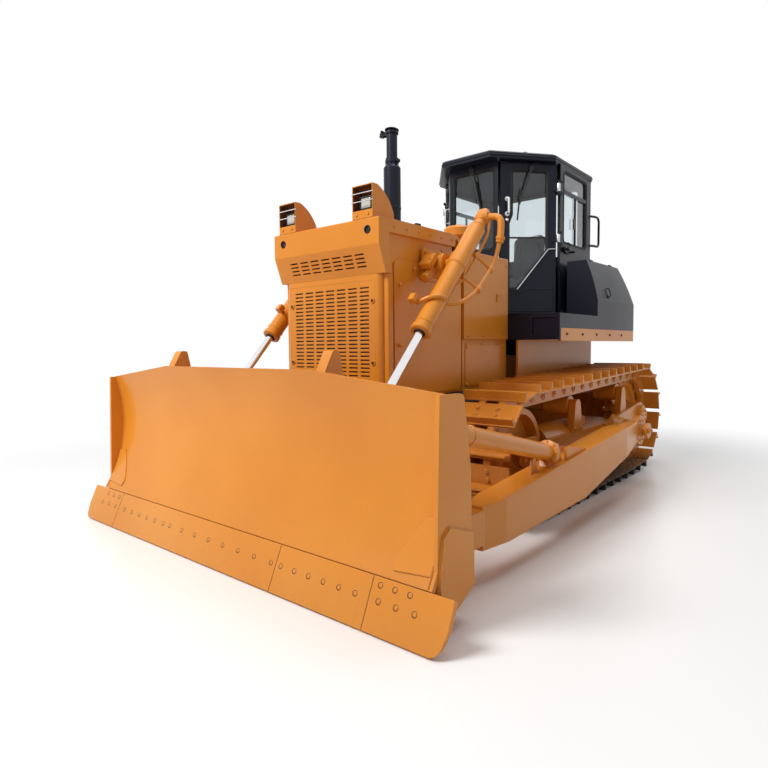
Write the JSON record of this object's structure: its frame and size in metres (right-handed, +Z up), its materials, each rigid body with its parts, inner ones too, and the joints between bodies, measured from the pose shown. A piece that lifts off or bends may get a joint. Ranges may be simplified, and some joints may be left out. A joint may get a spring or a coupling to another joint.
{
  "type": "bulldozer",
  "caption": "Crawler bulldozer with a straight tilting blade on push arms, slotted radiator mask, hexagonal glazed cab with opening doors, lift cylinders and single-grouser tracks",
  "frame": {"origin": "centre of the bounding box, on the ground under the grouser tips", "axes": "-Y is the machine's front, +X its left side, +Z up"},
  "size_m": [3.725, 5.6, 3.4],
  "materials": {
    "yellow_paint": "semi-gloss orange-yellow machine paint, weathered",
    "charcoal_paint": "gloss charcoal paint",
    "engine_paint": "oily dark grey paint",
    "cast_steel": "greased steel",
    "rod_chrome": "polished rod chrome",
    "window_glass": "clear flat window glass",
    "seat_cover": "black vinyl",
    "track_paint": "painted shoes, worn dark on the grousers",
    "edge_paint": "painted edge steel"
  },
  "bodies": {
    "tractor": {"belly_guard": "yellow_paint", "cab_floor": "charcoal_paint", "cab_front": "charcoal_paint", "cab_glass": "window_glass", "cab_rear": "charcoal_paint", "cab_roof": "charcoal_paint", "cab_sides": "charcoal_paint", "carrier_rollers": "yellow_paint", "consoles": "charcoal_paint", "cowl": "charcoal_paint", "drawbar": "yellow_paint", "engine_block": "engine_paint", "equalizer_bars": "yellow_paint", "exhaust": "charcoal_paint", "fender_decks": "charcoal_paint", "fender_skirts": "yellow_paint", "final_drives": "yellow_paint", "fuel_tank": "charcoal_paint", "hood_cap": "yellow_paint", "hood_sides": "yellow_paint", "hood_top": "yellow_paint", "hull_rails": "yellow_paint", "idlers": "yellow_paint", "lamp_boxes": "yellow_paint", "lamps": "rod_chrome", "lift_yokes": "yellow_paint", "platform": "charcoal_paint", "precleaner": "yellow_paint", "radiator": "engine_paint", "radiator_grille": "yellow_paint", "radiator_mask": "yellow_paint", "rear_case": "yellow_paint", "seat": "seat_cover", "side_boxes": "charcoal_paint", "sprockets": "yellow_paint", "track_frame_left": "yellow_paint", "track_frame_right": "yellow_paint", "track_left": "track_paint", "track_right": "track_paint", "track_rollers": "yellow_paint"},
    "trunnion_balls": {"trunnion_balls": "cast_steel"},
    "blade": {"blade": "yellow_paint", "cutting_edge": "edge_paint", "push_arm_left": "yellow_paint", "brace": "yellow_paint"},
    "push_arm_right": {"push_arm_right": "yellow_paint"},
    "tilt_barrel": {"tilt_barrel": "yellow_paint"},
    "tilt_rod": {"tilt_rod": "rod_chrome"},
    "lift_barrel_left": {"lift_barrel_left": "yellow_paint"},
    "lift_barrel_right": {"lift_barrel_right": "yellow_paint"},
    "lift_rod_left": {"lift_rod_left": "rod_chrome"},
    "lift_rod_right": {"lift_rod_right": "rod_chrome"},
    "door_left": {"door_left": "charcoal_paint", "door_glass_left": "window_glass"},
    "door_right": {"door_right": "charcoal_paint", "door_glass_right": "window_glass"}
  },
  "joints": [
    {"name": "blade_lift", "type": "hinge", "parent": "tractor", "child": "trunnion_balls", "pos_m": [0, 1.37, 0.56], "axis": [-1, 0, 0], "range_deg": [-7.5, 16.5]},
    {"name": "blade_tilt", "type": "hinge", "parent": "trunnion_balls", "child": "blade", "pos_m": [0, -2.15, 0.75], "axis": [0.3759, 0.9253, -0.0499], "range_deg": [-12.3, 12.3]},
    {"name": "right_arm_pitch", "type": "hinge", "parent": "trunnion_balls", "child": "push_arm_right", "pos_m": [-1.43, 1.37, 0.56], "axis": [-1, 0, 0], "range_deg": [-5.32, 5.32]},
    {"name": "tilt_barrel_swing", "type": "hinge", "parent": "push_arm_right", "child": "tilt_barrel", "pos_m": [-1.4925, -0.87, 0.65], "axis": [-1, 0, 0], "range_deg": [-1.76, 1.76]},
    {"name": "tilt_rod_slide", "type": "slide", "parent": "tilt_barrel", "child": "tilt_rod", "axis": [0, -0.9735, 0.2286], "range_m": [-0.0285, 0.0285]},
    {"name": "lift_swing_left", "type": "hinge", "parent": "tractor", "child": "lift_barrel_left", "pos_m": [0.83, -1.08, 2.08], "axis": [-1, 0, 0], "range_deg": [-12.39, 27.26]},
    {"name": "lift_slide_left", "type": "slide", "parent": "lift_barrel_left", "child": "lift_rod_left", "axis": [0, -0.6735, -0.7392], "range_m": [-0.7755, 0.3525]},
    {"name": "lift_swing_right", "type": "hinge", "parent": "tractor", "child": "lift_barrel_right", "pos_m": [-0.83, -1.08, 2.08], "axis": [-1, 0, 0], "range_deg": [-12.39, 27.26]},
    {"name": "lift_slide_right", "type": "slide", "parent": "lift_barrel_right", "child": "lift_rod_right", "axis": [0, -0.6735, -0.7392], "range_m": [-0.7755, 0.3525]},
    {"name": "door_left_swing", "type": "hinge", "parent": "tractor", "child": "door_left", "pos_m": [0.71383, 0.98657, 2.5], "axis": [0, 0, 1], "range_deg": [0, 120]},
    {"name": "door_right_swing", "type": "hinge", "parent": "tractor", "child": "door_right", "pos_m": [-0.71383, 0.98657, 2.5], "axis": [0, 0, -1], "range_deg": [0, 120]}
  ],
  "couplings": [
    {"joint": "right_arm_pitch", "follows": "blade_tilt", "ratio": 0.424},
    {"joint": "tilt_barrel_swing", "follows": "blade_tilt", "ratio": -0.14},
    {"joint": "tilt_rod_slide", "follows": "blade_tilt", "m_per_rad": 0.13},
    {"joint": "lift_swing_left", "follows": "blade_lift", "ratio": 1.62},
    {"joint": "lift_slide_left", "follows": "blade_lift", "m_per_rad": -2.64},
    {"joint": "lift_swing_right", "follows": "blade_lift", "ratio": 1.62},
    {"joint": "lift_slide_right", "follows": "blade_lift", "m_per_rad": -2.64}
  ]
}
